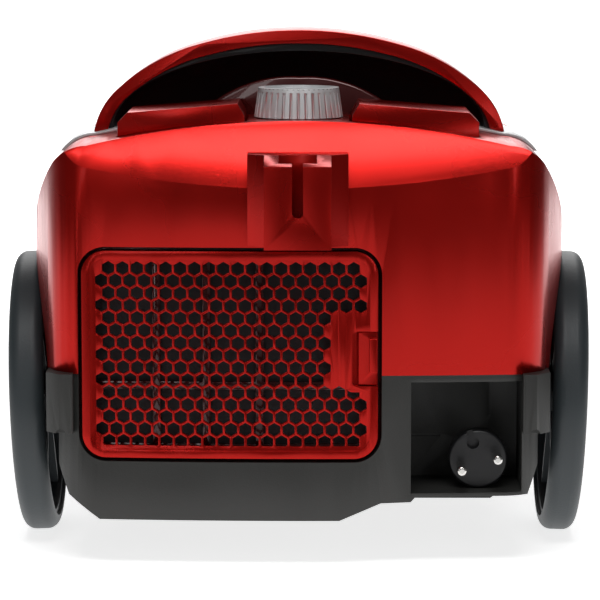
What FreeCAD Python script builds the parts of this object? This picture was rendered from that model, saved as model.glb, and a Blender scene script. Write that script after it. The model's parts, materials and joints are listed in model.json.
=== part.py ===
"""Canister vacuum cleaner: red bagless canister on two large cambered wheels and a front caster.

Frame: +Z up, +Y the way it rolls (hose end), -Y the rear with the exhaust grille, +X to the right
seen from behind.  Origin on the floor under the middle of the bounding box.  Millimetres.
"""
import FreeCAD, Part
import math
import os

V = FreeCAD.Vector
os.makedirs("parts", exist_ok=True)

# ---------------------------------------------------------------- driving dimensions
REAR_Y = -180.0            # middle of the bowed rear face
BOW_R = 1100.0             # plan radius of the rear face
LEAN = 18.0                # how far the rear face leans forward above the crease
NOSE_Y = 205.0             # tip of the front bumper
SEAM_Z = 98.5              # red housing above, grey base below
BASE_Z = 24.0              # underside of the base
DECK_Z = 226.0             # crown of the top deck
WALL = 3.0                 # shell wall of housing and base
CORNER_R = 22.0            # plan corner of the rear face
CORNER_TURN = 65.0         # degrees that the corner turns before the side's edge
HOUSING_HALF = 125.0       # half width of the red rear face
FENDER_HALF = 140.0        # half width over the wheels
BASE_HALF = 123.0          # half width of the grey base
CREASE_Z = 193.0           # where the rear face starts to lean forward
SHOULDER_Z = 214.0         # outer end of the crowned deck
SHOULDER_X = 107.0
BELT_END_Y = 62.0          # front end of the housing's side arms
BELT_Z = 139.0             # top of the arms and of the nose cover there

WHEEL_R = 75.0
WHEEL_WIDTH = 18.0
WHEEL_OUT_X = 149.4        # outer plane of a wheel at its centre
CAMBER = 1.87              # degrees, tops outward
AXLE_Y = -75.0
TYRE_DEPTH = 7.0
TYRE_ROUND = 6.0
AXLE_R = 5.0
AXLE_END = 37.0            # inner end of an axle from the wheel's outer plane
RUN_FIT = 0.05             # radial clearance of every running fit
WELL_GAP = 4.0             # wheel well round the wheel
WELL_X = 125.0             # inner wall of the wheel wells
AXLE_Z = WHEEL_R * math.cos(math.radians(CAMBER)) - TYRE_ROUND * math.sin(math.radians(CAMBER))

GRILLE_X = (-109.4, 40.4)
GRILLE_Z = (56.0, 161.5)
GRILLE_CORNER = 12.0
GRILLE_GAP = 2.0
GRILLE_THICK = 9.5         # back of the door, seated on the filter carrier
HEX_PITCH = 7.28
HEX_FLATS = 6.1
HEX_PLATE = 2.4
GRILLE_RIM = 4.0           # raised frame round the honeycomb
HEX_ROWS = 15
HEX_MARGIN = 8.7           # first hexagon's centre from the grille's top and right edges
CHAMBER_DEPTH = 32.0

BAY_X = (57.2, 113.8)      # cord compartment
BAY_Z = (38.0, 95.0)
BAY_DEPTH = 52.0
BAY_WALL = 2.5
BAY_FLOOR = 1.8
GROOVE = 0.8
PLUG_X, PLUG_Z = 92.0, 53.2
PLUG_R = 15.0
PLUG_FACE_Y = -165.0
PLUG_LENGTH = 26.0
PLUG_ROLL = 17.4
PIN_PITCH = 19.0
PIN_R = 2.4
PIN_LENGTH = 19.0
CORD_R = 3.3
REEL_PACK_R = 50.0
REEL_FLANGE_R = 56.0
REEL_WIDTH = 40.0
REEL_X, REEL_Y = 84.0, -62.0
REEL_SHAFT_R = 4.0

BIN_Y = 95.0
BIN_R = 78.0
BIN_WALL = 2.5
BIN_BASE_Z = 63.4
BIN_TOP_Z = 214.0
BIN_GAP = 4.0
LID_H = 22.0
PLATFORM_Z = 63.0
INLET_Z = 116.0
INLET_R = 17.5             # hose socket bore
INLET_WALL = 4.0
INLET_END_Y = 204.0

CASTER_Y = 140.0
CASTER_WELL_R = 36.0
CASTER_R = 18.0
CASTER_WIDTH = 16.0
CASTER_TRAIL = 10.0
CASTER_ROOF_Z = 56.0

BRACKET_Y = -205.0
BRACKET_X = (16.7, 25.3)   # half width of the block and of its flange
BRACKET_Z = (165.0, 211.0)
SLOT_WIDTH = 5.5
SLOT_FLOOR_Z = 180.7

ARCH_HALF = 109.0
ARCH_TOP_Z = 269.0
ARCH_BASE_Z = 210.0
ARCH_BAND = 7.0
ARCH_Y = (-92.0, -44.0)
LINER_Y = (-88.0, -34.0)
TRIM_THICK = 1.6
DOME_HALF = 53.0
DOME_Z = 245.0
DOME_Y = (-101.0, -95.0)
DOME_TRAVEL = 4.0

PEDAL_X = (27.0, 92.0)
PEDAL_Y = (-152.0, -104.0)
PEDAL_Z = (234.0, 229.5)   # top at the inner and outer end
PEDAL_DEPTH = 13.0
PEDAL_GAP = 1.0
PIVOT_R = 1.5
PIVOT_Z = 213.0
KNOB_Y = -130.0
KNOB_R = (22.9, 20.8)
KNOB_H = 15.0
KNOB_FLUTES = 36
KNOB_SHAFT_R = 3.0

MOTOR_X, MOTOR_Z = -36.0, 110.0
MOTOR_R = 46.0
FAN_R = 56.0
MOTOR_Y = (-132.0, -62.0)
FAN_Y = (-62.0, -30.0)

SEAT = 0.3                 # gap of pieces that lift off or slide
NODES = {}
GRILLE_OPENING_DEPTH = GRILLE_THICK + 0.5
INTAKE_R = 17.0
INTAKE_Z = 176.0
CASTER_PIN_R = 4.0
GROMMET_R = 7.0
BOARD_Z = 200.0
SCREW_SPOTS = ((-112.0, -2.0), (112.0, -2.0), (-108.0, 48.0), (108.0, 48.0))
LATCH_X = (27.5, GRILLE_X[1] + 1.3)
LATCH_Z = (93.0, 121.0)
LATCH_DEPTH = 3.0          # latch plate behind the rear face
LATCH_THICK = 2.4
HEX_STOP_X = LATCH_X[0] - 13.5


# ---------------------------------------------------------------- helpers
def plan(a, b):
    return V(a, b, 0)


def rear(a, b):
    return V(a, 0, b)


def side(a, b):
    return V(0, a, b)


def edges(plane, start, steps):
    """Lines (a point) and arcs (a mid point and an end point) from start."""
    here = plane(*start)
    made = []
    for step in steps:
        if isinstance(step[0], tuple):
            end = plane(*step[1])
            made.append(Part.Arc(here, plane(*step[0]), end).toShape())
        else:
            end = plane(*step)
            made.append(Part.LineSegment(here, end).toShape())
        here = end
    return made


def face(plane, start, *steps):
    return Part.Face(Part.Wire(edges(plane, start, list(steps) + [start])))


def twin_face(plane, start, *steps):
    """Closed face from the half outline with x >= 0, which starts and ends on x = 0."""
    half = edges(plane, start, steps)
    other = [e.mirror(V(0, 0, 0), V(1, 0, 0)) for e in half]
    return Part.Face(Part.Wire(Part.__sortEdges__(half + other)))


def prism(flat, low, high):
    """The face pushed along its own axis from low to high."""
    box_of = flat.BoundBox
    spans = [box_of.XLength, box_of.YLength, box_of.ZLength]
    along = [V(1, 0, 0), V(0, 1, 0), V(0, 0, 1)][spans.index(min(spans))]
    solid = flat.extrude(along * (high - low))
    solid.translate(along * low)
    return solid


def box(x, y, z):
    return Part.makeBox(x[1] - x[0], y[1] - y[0], z[1] - z[0], V(x[0], y[0], z[0]))


def rod(radius, start, end):
    way = V(*end) - V(*start)
    return Part.makeCylinder(radius, way.Length, V(*start), way)


def tube(outer, inner, start, end):
    return rod(outer, start, end).cut(rod(inner, start, end))


def cone(r1, r2, start, end):
    way = V(*end) - V(*start)
    return Part.makeCone(r1, r2, way.Length, V(*start), way)


def mirrored(shape):
    return shape.mirror(V(0, 0, 0), V(1, 0, 0))


def add(name, shape):
    """Keep a node; a group stays a compound of separate solids."""
    solids = shape.Solids
    NODES[name] = solids[0] if len(solids) == 1 else Part.makeCompound(solids)


def round_rect(x, z, radius, y):
    outline = box(x, (y[0], y[1]), z)
    upright = [e for e in outline.Edges if abs(e.BoundBox.YLength - (y[1] - y[0])) < 1e-6]
    return outline.makeFillet(radius, upright)


# ---------------------------------------------------------------- outer forms
def bow(x):
    """How far the rear face stands forward of its middle at x."""
    return BOW_R - math.sqrt(BOW_R ** 2 - x ** 2)


def rear_half(half_width):
    """Steps of a plan outline along the rear face and round its corner, right half."""
    start = half_width - CORNER_R * math.sin(math.radians(CORNER_TURN))
    low = REAR_Y + bow(start)

    def corner(turn):
        a = math.radians(turn)
        return (start + CORNER_R * math.sin(a), low + CORNER_R * (1 - math.cos(a)))
    return [((start / 2, REAR_Y + bow(start / 2)), (start, low)),
            (corner(CORNER_TURN / 2), corner(CORNER_TURN))]


def rear_slab(y):
    """Upright curved slab that follows the rear face, from depth y[0] to y[1]."""
    outer = BOW_R - (y[0] - REAR_Y)
    inner = BOW_R - (y[1] - REAR_Y)
    middle = REAR_Y + BOW_R
    slab = tube(outer, inner, (0, middle, 0), (0, middle, 300))
    return slab.common(box((-150, 150), (REAR_Y - 40, REAR_Y + 100), (0, 300)))


def housing_form(inset=0.0):
    """Red housing as a solid: plan, rear view and side profile intersected."""
    top = twin_face(
        plan, (0, REAR_Y), *rear_half(HOUSING_HALF),
        ((FENDER_HALF - 4, AXLE_Y - 45), (FENDER_HALF, AXLE_Y)),
        ((FENDER_HALF - 4, AXLE_Y + 55), (FENDER_HALF - 18, AXLE_Y + 105)),
        (FENDER_HALF - 29, BELT_END_Y), (0, BELT_END_Y))
    foot = SEAM_Z - 20.0
    back = twin_face(
        rear, (0, foot), (FENDER_HALF + 1, foot), (FENDER_HALF + 1, 150),
        ((FENDER_HALF - 3.5, 180), (HOUSING_HALF, SHOULDER_Z - 10)),
        ((HOUSING_HALF - 7, SHOULDER_Z - 3.2), (SHOULDER_X, SHOULDER_Z)),
        ((SHOULDER_X / 2, DECK_Z - 3), (0, DECK_Z)))
    lean = face(
        side, (REAR_Y, foot), (REAR_Y, CREASE_Z), (REAR_Y + LEAN, DECK_Z + 3), (-32, DECK_Z + 3),
        ((BELT_END_Y - 36, DECK_Z - 22), (BELT_END_Y, BELT_Z + 1)), (BELT_END_Y, foot))
    if inset:
        top, back, lean = [f.makeOffset2D(-inset) for f in (top, back, lean)]
    form = prism(top, foot - 1, DECK_Z + 10)
    form = form.common(prism(back, REAR_Y - 10, BELT_END_Y + 10))
    return form.common(prism(lean, -200, 200))


def base_form(inset=0.0, top_z=SEAM_Z):
    """Grey base as a solid."""
    top = twin_face(
        plan, (0, REAR_Y), *rear_half(BASE_HALF - 0.5),
        (BASE_HALF, AXLE_Y - 60), (BASE_HALF, BELT_END_Y - 40),
        ((BASE_HALF - 11, BELT_END_Y + 70), (BASE_HALF - 56, NOSE_Y - 16)),
        (((BASE_HALF - 56) / 2, NOSE_Y - 4), (0, NOSE_Y)))
    back = twin_face(
        rear, (0, BASE_Z), (BASE_HALF - 22, BASE_Z), (BASE_HALF - 6, BASE_Z + 12),
        (BASE_HALF, BASE_Z + 28), (BASE_HALF, top_z + 20), (0, top_z + 20))
    lean = face(
        side, (REAR_Y, BASE_Z), (REAR_Y, top_z + 20), (NOSE_Y, top_z + 20), (NOSE_Y, BASE_Z + 44),
        ((NOSE_Y - 9, BASE_Z + 14), (NOSE_Y - 40, BASE_Z)))
    if inset:
        top, back, lean = [f.makeOffset2D(-inset) for f in (top, back, lean)]
    form = prism(top, BASE_Z - 1, top_z)
    form = form.common(prism(back, -300, 300))
    return form.common(prism(lean, -200, 200))


def well(x, radius):
    """Room of one wheel, right side."""
    return rod(radius, (x, AXLE_Y, AXLE_Z), (FENDER_HALF + 30, AXLE_Y, AXLE_Z))


def wheel_wells(grow=0.0):
    right = well(WELL_X - grow, WHEEL_R + WELL_GAP + grow)
    return right.fuse(mirrored(right))


def grille_plate(grow, y):
    """Slab in the outline of the exhaust grille, grown all round, between two depths."""
    x = (GRILLE_X[0] - grow, GRILLE_X[1] + grow)
    z = (GRILLE_Z[0] - grow, GRILLE_Z[1] + grow)
    block = round_rect(x, z, GRILLE_CORNER + grow, (REAR_Y - 30, REAR_Y + 90))
    return block.common(rear_slab(y))


def bin_room():
    return rod(BIN_R + BIN_GAP, (0, BIN_Y, BASE_Z), (0, BIN_Y, DECK_Z + 40))


def axle_line(x):
    """Point of the right axle's cambered line at a distance x from the wheel's outer plane."""
    tilt = math.radians(CAMBER)
    return (WHEEL_OUT_X - x * math.cos(tilt), AXLE_Y, AXLE_Z + x * math.sin(tilt))


# ---------------------------------------------------------------- housing and base
def bay_room(grow=0.0):
    return box((BAY_X[0] - grow, BAY_X[1] + grow), (REAR_Y - 30, REAR_Y + BAY_DEPTH + grow),
               (BAY_Z[0] - grow, BAY_Z[1] + grow))


def bay_grooves():
    """Panel joints moulded into the back wall of the cord compartment."""
    y = (REAR_Y + BAY_DEPTH - 1, REAR_Y + BAY_DEPTH + GROOVE)
    upright = box((BAY_X[1] - 14.5, BAY_X[1] - 13.3), y, (BAY_Z[0] + 32, BAY_Z[1]))
    level = box((BAY_X[0], BAY_X[0] + 17), y, (BAY_Z[0] + 21, BAY_Z[0] + 22.2))
    return upright.fuse(level)


def raised_corner(grow=0.0):
    """Step under the cord compartment, where the base stands higher off the floor."""
    floor_z = BAY_Z[0] - BAY_FLOOR
    return prism(face(rear, (21, BASE_Z - 10), (21 - grow, BASE_Z), (42 - grow, BASE_Z + 9 + grow),
                      (BAY_X[0] - grow, BASE_Z + 9.5 + grow), (BAY_X[0] + 2.5 - grow, floor_z + grow),
                      (150, floor_z + grow), (150, BASE_Z - 10)), REAR_Y - 5, REAR_Y + 62 + grow)


def pedal_room(grow):
    return box((PEDAL_X[0] - grow, PEDAL_X[1] + grow), (PEDAL_Y[0] - grow, PEDAL_Y[1] + grow),
               (PIVOT_Z - 6, DECK_Z + 20))


def pivot_ribs():
    """Hangers under the deck that carry the pedal pivot rod."""
    made = None
    for inner in (PEDAL_X[0] - PEDAL_GAP - 4, PEDAL_X[1] + PEDAL_GAP):
        rib = box((inner, inner + 4), (PEDAL_Y[1] - 10, PEDAL_Y[1] + 4), (PIVOT_Z - 5, DECK_Z + 2))
        made = rib if made is None else made.fuse(rib)
    return made.fuse(mirrored(made)).common(HOUSING_SOLID)


def housing():
    shell = HOUSING_SOLID.cut(wheel_wells())
    shell = shell.cut(HOUSING_ROOM.cut(wheel_wells(WALL)))
    shell = shell.cut(bin_room())
    back_wall = tube(BIN_R + BIN_GAP + WALL, BIN_R + BIN_GAP, (0, BIN_Y, SEAM_Z), (0, BIN_Y, DECK_Z + 10))
    shell = shell.fuse(back_wall.common(HOUSING_SOLID))
    shell = shell.cut(grille_plate(GRILLE_GAP, (REAR_Y - 5, REAR_Y + GRILLE_OPENING_DEPTH)))
    shell = shell.fuse(pivot_ribs())
    for room in (pedal_room(PEDAL_GAP), mirrored(pedal_room(PEDAL_GAP))):
        shell = shell.cut(room)
    shell = shell.cut(rod(PIVOT_R, (-110, PEDAL_Y[1] - 4, PIVOT_Z), (110, PEDAL_Y[1] - 4, PIVOT_Z)))
    shell = shell.cut(rod(KNOB_SHAFT_R + 0.4, (0, KNOB_Y, 190), (0, KNOB_Y, 240)))
    for x in (-1, 1):
        for y in (KNOB_Y - 14, KNOB_Y + 12):
            post = rod(3, (x * 17, y, BOARD_Z + 1.6), (x * 17, y, DECK_Z + 2))
            shell = shell.fuse(post.common(HOUSING_SOLID))
    shell = shell.cut(dome_room(SEAT))
    shell = shell.cut(duct_bore(INTAKE_R))
    add("rear_housing", shell)


def base_tray():
    tray = BASE_SOLID.cut(wheel_wells())
    tray = tray.cut(raised_corner())
    room = BASE_ROOM.cut(wheel_wells(WALL))
    room = room.cut(raised_corner(WALL)).cut(bay_room(BAY_WALL))
    bin_wall = tube(BIN_R + BIN_GAP + WALL, BIN_R + BIN_GAP,
                    (0, BIN_Y, BASE_Z), (0, BIN_Y, SEAM_Z))
    platform = rod(BIN_R + BIN_GAP, (0, BIN_Y, PLATFORM_Z - 3), (0, BIN_Y, PLATFORM_Z))
    caster_wall = rod(CASTER_WELL_R + WALL, (0, CASTER_Y, BASE_Z), (0, CASTER_Y, CASTER_ROOF_Z + WALL))
    room = room.cut(bin_wall).cut(platform).cut(caster_wall)
    tray = tray.cut(room)
    tray = tray.cut(rod(CASTER_WELL_R, (0, CASTER_Y, 0), (0, CASTER_Y, CASTER_ROOF_Z)))
    boss = rod(CASTER_PIN_R + 5, (0, CASTER_Y, CASTER_ROOF_Z - 8), (0, CASTER_Y, CASTER_ROOF_Z + 1))
    tray = tray.fuse(boss)
    tray = tray.cut(rod(CASTER_PIN_R + RUN_FIT, (0, CASTER_Y, 20), (0, CASTER_Y, CASTER_ROOF_Z)))
    tray = tray.cut(bay_room())
    tray = tray.cut(grille_plate(GRILLE_GAP, (REAR_Y - 5, REAR_Y + GRILLE_OPENING_DEPTH)))
    tray = tray.cut(bay_grooves())
    tray = tray.cut(rod(GROMMET_R, (PLUG_X, REAR_Y + 30, PLUG_Z), (PLUG_X, REAR_Y + 80, PLUG_Z)))
    holder = rod(AXLE_R + 6, axle_line(AXLE_END + 2), axle_line(WHEEL_WIDTH + 7.5))
    hole = rod(AXLE_R, axle_line(AXLE_END + 4), axle_line(0))
    tray = tray.fuse(holder).fuse(mirrored(holder)).cut(hole).cut(mirrored(hole))
    tray = tray.cut(inlet_bore_room(INLET_R + INLET_WALL))
    for x, y in SCREW_SPOTS:
        tray = tray.fuse(rod(5, (x, y, BASE_Z + 1), (x, y, SEAM_Z - 2)))
        tray = tray.cut(rod(1.6, (x, y, BASE_Z), (x, y, SEAM_Z)))
        tray = tray.cut(rod(3.6, (x, y, BASE_Z - 1), (x, y, BASE_Z + 3)))
    add("base_tray", tray)


def nose_cover():
    """Red belt that carries on from the side arms round the front of the bin."""
    room_x = BASE_HALF * 2
    lean = face(side, (BELT_END_Y + SEAT, SEAM_Z), (BELT_END_Y + SEAT, BELT_Z), (BELT_END_Y + 70, BELT_Z),
                ((NOSE_Y - 16, BELT_Z - 9), (NOSE_Y - 3, SEAM_Z)))
    inner = face(side, (BELT_END_Y - 10, SEAM_Z - 9), (BELT_END_Y - 10, BELT_Z), (BELT_END_Y + 70, BELT_Z),
                 ((NOSE_Y - 16, BELT_Z - 9), (NOSE_Y - 3, SEAM_Z - 9))).makeOffset2D(-WALL)
    tall = base_form(0.0, BELT_Z + 30).common(box((-room_x, room_x), (0, NOSE_Y + 5),
                                                 (SEAM_Z, BELT_Z + 30)))
    hollow = base_form(WALL, BELT_Z + 30)
    cover = tall.common(prism(lean, -200, 200))
    cover = cover.cut(hollow.common(prism(inner, -200, 200)))
    wall = tube(BIN_R + BIN_GAP + WALL, BIN_R + BIN_GAP, (0, BIN_Y, SEAM_Z), (0, BIN_Y, BELT_Z + 20))
    cover = cover.fuse(wall.common(prism(lean, -200, 200)).common(tall)).cut(bin_room())
    cover = cover.cut(inlet_bore_room(INLET_R + INLET_WALL))
    add("nose_cover", cover)


def inlet_bore_room(radius):
    return rod(radius, (0, BIN_Y + BIN_R - 6, INLET_Z), (0, NOSE_Y + 30, INLET_Z))


def hose_inlet():
    start = BIN_Y + BIN_R + 1.2
    socket = tube(INLET_R + INLET_WALL, INLET_R, (0, start, INLET_Z), (0, INLET_END_Y, INLET_Z))
    socket = socket.cut(rod(BIN_R + 1.2, (0, BIN_Y, 60), (0, BIN_Y, 200)))
    add("hose_inlet", socket)
    ring = tube(INLET_R + 2.6, INLET_R, (0, BIN_Y + BIN_R - 6, INLET_Z), (0, start, INLET_Z))
    ring = ring.cut(rod(BIN_R + SEAT, (0, BIN_Y, 60), (0, BIN_Y, 200)))
    add("inlet_seal", ring)


def duct_bore(radius):
    return rod(radius, (MOTOR_X, FAN_Y[1] + 4, INTAKE_Z), (MOTOR_X, BIN_Y, INTAKE_Z))


def dome_room(grow=0.0):
    y = (DOME_Y[0] - grow, DOME_Y[1] + grow)
    return box((-DOME_HALF - grow, DOME_HALF + grow), y, (DECK_Z - 16, DOME_Z + 20))


# ---------------------------------------------------------------- rear face
def hexagon(x, z, flats):
    radius = flats / math.sqrt(3)
    corners = [(x + radius * math.cos(math.radians(60 * k + 30)),
                z + radius * math.sin(math.radians(60 * k + 30))) for k in range(6)]
    return Part.Wire(edges(rear, corners[0], corners[1:] + [corners[0]]))


def honeycomb():
    """Openings of the grille: pointy-top hexagons in staggered rows, none beside the latch."""
    row_pitch = HEX_PITCH * math.sqrt(3) / 2
    floor_z = GRILLE_Z[0] + HEX_MARGIN - HEX_FLATS / 2 + 0.6
    prisms = []
    for row in range(HEX_ROWS):
        z = GRILLE_Z[1] - HEX_MARGIN - row * row_pitch
        x = GRILLE_X[1] - HEX_MARGIN - (0 if row % 2 else HEX_PITCH / 2)
        beside_latch = LATCH_Z[0] - 3 < z < LATCH_Z[1] + 8
        while x > GRILLE_X[0] + HEX_MARGIN:
            if not (beside_latch and x > HEX_STOP_X + 1):
                outline = Part.Face(hexagon(x, z, HEX_FLATS))
                hole = outline.extrude(V(0, 40, 0))
                hole.translate(V(0, REAR_Y - 20, 0))
                if z - HEX_FLATS < floor_z:
                    hole = hole.common(box((x - 9, x + 9), (REAR_Y - 20, REAR_Y + 20), (floor_z, z + 9)))
                prisms.append(hole)
            x -= HEX_PITCH
    return Part.makeCompound(prisms)


def exhaust_grille():
    plate = grille_plate(-GRILLE_RIM / 2, (REAR_Y + 0.8, REAR_Y + 0.8 + HEX_PLATE)).cut(honeycomb())
    rim = grille_plate(0.0, (REAR_Y, REAR_Y + GRILLE_THICK))
    rim = rim.cut(grille_plate(-GRILLE_RIM, (REAR_Y - 1, REAR_Y + GRILLE_THICK + 1)))
    door = plate.fuse(rim)
    shelf = LATCH_DEPTH + LATCH_THICK + 2.6
    frame = round_rect((LATCH_X[0] - 3, GRILLE_X[1] - 0.1), (LATCH_Z[0] - 3, LATCH_Z[1] + 3), 3,
                       (REAR_Y + 1.2, REAR_Y + shelf))
    door = door.fuse(frame)
    notch = round_rect((LATCH_X[0], LATCH_X[1] + 8), LATCH_Z, 2,
                       (REAR_Y - 2, REAR_Y + LATCH_DEPTH + LATCH_THICK + SEAT))
    add("exhaust_grille", door.cut(notch))
    plate = box((LATCH_X[0] + 3.0, LATCH_X[1] - 1.6),
                (REAR_Y + LATCH_DEPTH, REAR_Y + LATCH_DEPTH + LATCH_THICK),
                (LATCH_Z[0] + 0.6, LATCH_Z[1] - 0.6))
    finger = box((LATCH_X[1] - 5.6, LATCH_X[1] - 1.6), (REAR_Y - 0.4, REAR_Y + LATCH_DEPTH + 1),
                 (LATCH_Z[0] + 7, LATCH_Z[1] - 3.5))
    add("grille_latch", plate.fuse(finger))


def exhaust_stack():
    wall = 2.5
    y = (REAR_Y + WALL, REAR_Y + WALL + CHAMBER_DEPTH)
    chamber = grille_plate(GRILLE_GAP + wall, y)
    chamber = chamber.cut(grille_plate(GRILLE_GAP, (y[0] - 1, y[1] - wall)))
    chamber = chamber.cut(rod(MOTOR_R - 4, (MOTOR_X, y[1] - 5, MOTOR_Z), (MOTOR_X, y[1] + 5, MOTOR_Z)))
    chamber = chamber.cut(NODES["rear_housing"]).cut(NODES["base_tray"])
    add("filter_chamber", max(chamber.Solids, key=lambda s: s.Volume))
    carrier_y = (REAR_Y + GRILLE_THICK, REAR_Y + GRILLE_THICK + 3)
    carrier = grille_plate(GRILLE_GAP, carrier_y).cut(grille_plate(-6.0, (carrier_y[0] - 1, carrier_y[1] + 1)))
    x_span = GRILLE_X[1] - GRILLE_X[0]
    for share in (0.25, 0.42, 0.60):
        x = GRILLE_X[0] + share * x_span
        rib = box((x - 2, x + 2), (REAR_Y, REAR_Y + 40), (GRILLE_Z[0] + 1, GRILLE_Z[1] - 1))
        carrier = carrier.fuse(rib.common(rear_slab(carrier_y)))
    middle = GRILLE_Z[0] + 0.34 * (GRILLE_Z[1] - GRILLE_Z[0])
    bar = box((GRILLE_X[0] + 1, GRILLE_X[1] - 1), (REAR_Y, REAR_Y + 40), (middle - 2, middle + 2))
    carrier = carrier.fuse(bar.common(rear_slab(carrier_y)))
    add("filter_carrier", carrier)
    add("exhaust_filter", grille_plate(GRILLE_GAP, (carrier_y[1], y[1] - wall)))


def parking_bracket():
    half, flange = BRACKET_X
    outline = twin_face(plan, (0, BRACKET_Y), (half, BRACKET_Y), (half, BRACKET_Y + 14),
                        (flange, BRACKET_Y + 21), (flange, REAR_Y + 24), (0, REAR_Y + 24))
    block = prism(outline, BRACKET_Z[0], BRACKET_Z[1])
    block = block.cut(HOUSING_SOLID)
    slot = box((-SLOT_WIDTH / 2, SLOT_WIDTH / 2), (BRACKET_Y - 1, BRACKET_Y + 12),
               (SLOT_FLOOR_Z + SLOT_WIDTH / 2, BRACKET_Z[1] + 1))
    slot = slot.fuse(rod(SLOT_WIDTH / 2, (0, BRACKET_Y - 1, SLOT_FLOOR_Z + SLOT_WIDTH / 2),
                         (0, BRACKET_Y + 12, SLOT_FLOOR_Z + SLOT_WIDTH / 2)))
    behind = box((-9.5, 9.5), (BRACKET_Y + 4, BRACKET_Y + 16), (SLOT_FLOOR_Z - 2, BRACKET_Z[1] + 1))
    funnel = prism(face(rear, (0, BRACKET_Z[1] - 9), (5, BRACKET_Z[1] + 1), (-5, BRACKET_Z[1] + 1)),
                   BRACKET_Y - 1, BRACKET_Y + 5)
    brow = prism(face(side, (BRACKET_Y - 1, BRACKET_Z[1] - 5), (BRACKET_Y + 15, BRACKET_Z[1] + 0.5),
                      (BRACKET_Y - 1, BRACKET_Z[1] + 0.5)), -half - 10, half + 10)
    add("parking_bracket", block.cut(slot).cut(behind).cut(funnel).cut(brow))


def side_clips():
    """Grey clips that lap over the base's rear corners under the seam."""
    clip_y = REAR_Y + 1.0
    clip = box((114.0, 128.0), (clip_y, REAR_Y + 26), (68.5, SEAM_Z + 0.5))
    ramp = prism(face(plan, (110, clip_y - 1), (117, clip_y - 1), (110, clip_y + 3)), 60, 110)
    corner = prism(face(plan, (129, clip_y - 1), (120, clip_y - 1), (129, clip_y + 9)), 60, 110)
    clip = clip.cut(ramp).cut(corner).cut(BASE_SOLID).cut(HOUSING_SOLID)
    notch = rod(2.6, (120, clip_y - 2, 68.5), (120, clip_y + 4, 68.5))
    clip = clip.cut(notch)
    add("side_clips", Part.makeCompound([clip, mirrored(clip)]))


# ---------------------------------------------------------------- top
def top_parts():
    reach = PEDAL_X[1] - PEDAL_X[0]
    outline = face(rear, (PEDAL_X[0], PEDAL_Z[0] - PEDAL_DEPTH), (PEDAL_X[0] + 0.5, PEDAL_Z[0] - 6),
                   (PEDAL_X[0] + 4, PEDAL_Z[0]), (PEDAL_X[1] - 5, PEDAL_Z[1]),
                   (PEDAL_X[1], PEDAL_Z[1] - 5), (PEDAL_X[1], PEDAL_Z[0] - PEDAL_DEPTH - 4))
    pedal = prism(outline, PEDAL_Y[0], PEDAL_Y[1])
    pedal = pedal.cut(box((PEDAL_X[0] + 3, PEDAL_X[1] - 3), (PEDAL_Y[0] + 3, PEDAL_Y[1] - 12),
                          (PIVOT_Z - 5, PEDAL_Z[1] - 6)))
    ear = rod(4, (PEDAL_X[0] + 2, PEDAL_Y[1] - 4, PIVOT_Z), (PEDAL_X[0] + reach - 2, PEDAL_Y[1] - 4, PIVOT_Z))
    web = box((PEDAL_X[0] + 2, PEDAL_X[1] - 2), (PEDAL_Y[1] - 8, PEDAL_Y[1]), (PIVOT_Z, PEDAL_Z[0] - 11))
    pedal = pedal.fuse(ear).fuse(web)
    pedal = pedal.cut(rod(PIVOT_R + RUN_FIT, (0, PEDAL_Y[1] - 4, PIVOT_Z), (110, PEDAL_Y[1] - 4, PIVOT_Z)))
    add("rewind_pedal", pedal)
    add("power_pedal", mirrored(pedal))
    end = PEDAL_X[1] + PEDAL_GAP + 4
    add("pedal_pivot_rod", rod(PIVOT_R, (-end, PEDAL_Y[1] - 4, PIVOT_Z), (end, PEDAL_Y[1] - 4, PIVOT_Z)))

    foot = DECK_Z + SEAT
    knob = cone(KNOB_R[0], KNOB_R[1], (0, KNOB_Y, foot), (0, KNOB_Y, foot + KNOB_H))
    for k in range(KNOB_FLUTES):
        turn = math.radians(360 / KNOB_FLUTES * k)
        x = KNOB_R[0] * math.cos(turn)
        y = KNOB_Y + KNOB_R[0] * math.sin(turn)
        top_x = KNOB_R[1] * math.cos(turn)
        top_y = KNOB_Y + KNOB_R[1] * math.sin(turn)
        knob = knob.cut(rod(0.9, (x, y, foot), (top_x, top_y, foot + KNOB_H - 2)))
    knob = knob.cut(rod(KNOB_R[1] - 3, (0, KNOB_Y, foot + KNOB_H - 1.5), (0, KNOB_Y, foot + KNOB_H + 1)))
    knob = knob.fuse(rod(KNOB_SHAFT_R, (0, KNOB_Y, BOARD_Z + 2.2), (0, KNOB_Y, foot + 1)))
    add("power_knob", knob)
    board = box((-32, 32), (KNOB_Y - 20, KNOB_Y + 17), (BOARD_Z, BOARD_Z + 1.6))
    dial_case = tube(9, KNOB_SHAFT_R + RUN_FIT, (0, KNOB_Y, BOARD_Z + 1.6), (0, KNOB_Y, BOARD_Z + 12))
    add("control_board", board.fuse(dial_case))

    dome = prism(twin_face(rear, (0, DECK_Z - 14), (DOME_HALF, DECK_Z - 14), (DOME_HALF, DECK_Z - 1),
                           ((DOME_HALF * 0.55, DOME_Z - 4.6), (0, DOME_Z))), DOME_Y[0], DOME_Y[1])
    add("bin_release", dome)


def half_ellipse(half, height, base, y):
    """Half ellipse standing on the deck, from three arcs of its formula, as a prism."""
    def at(turn):
        return (half * math.cos(math.radians(turn)), base + height * math.sin(math.radians(turn)))
    flat = twin_face(rear, (0, base), at(0), (at(14), at(28)), (at(45), at(62)), (at(76), at(90)))
    return prism(flat, y[0], y[1])


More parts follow.
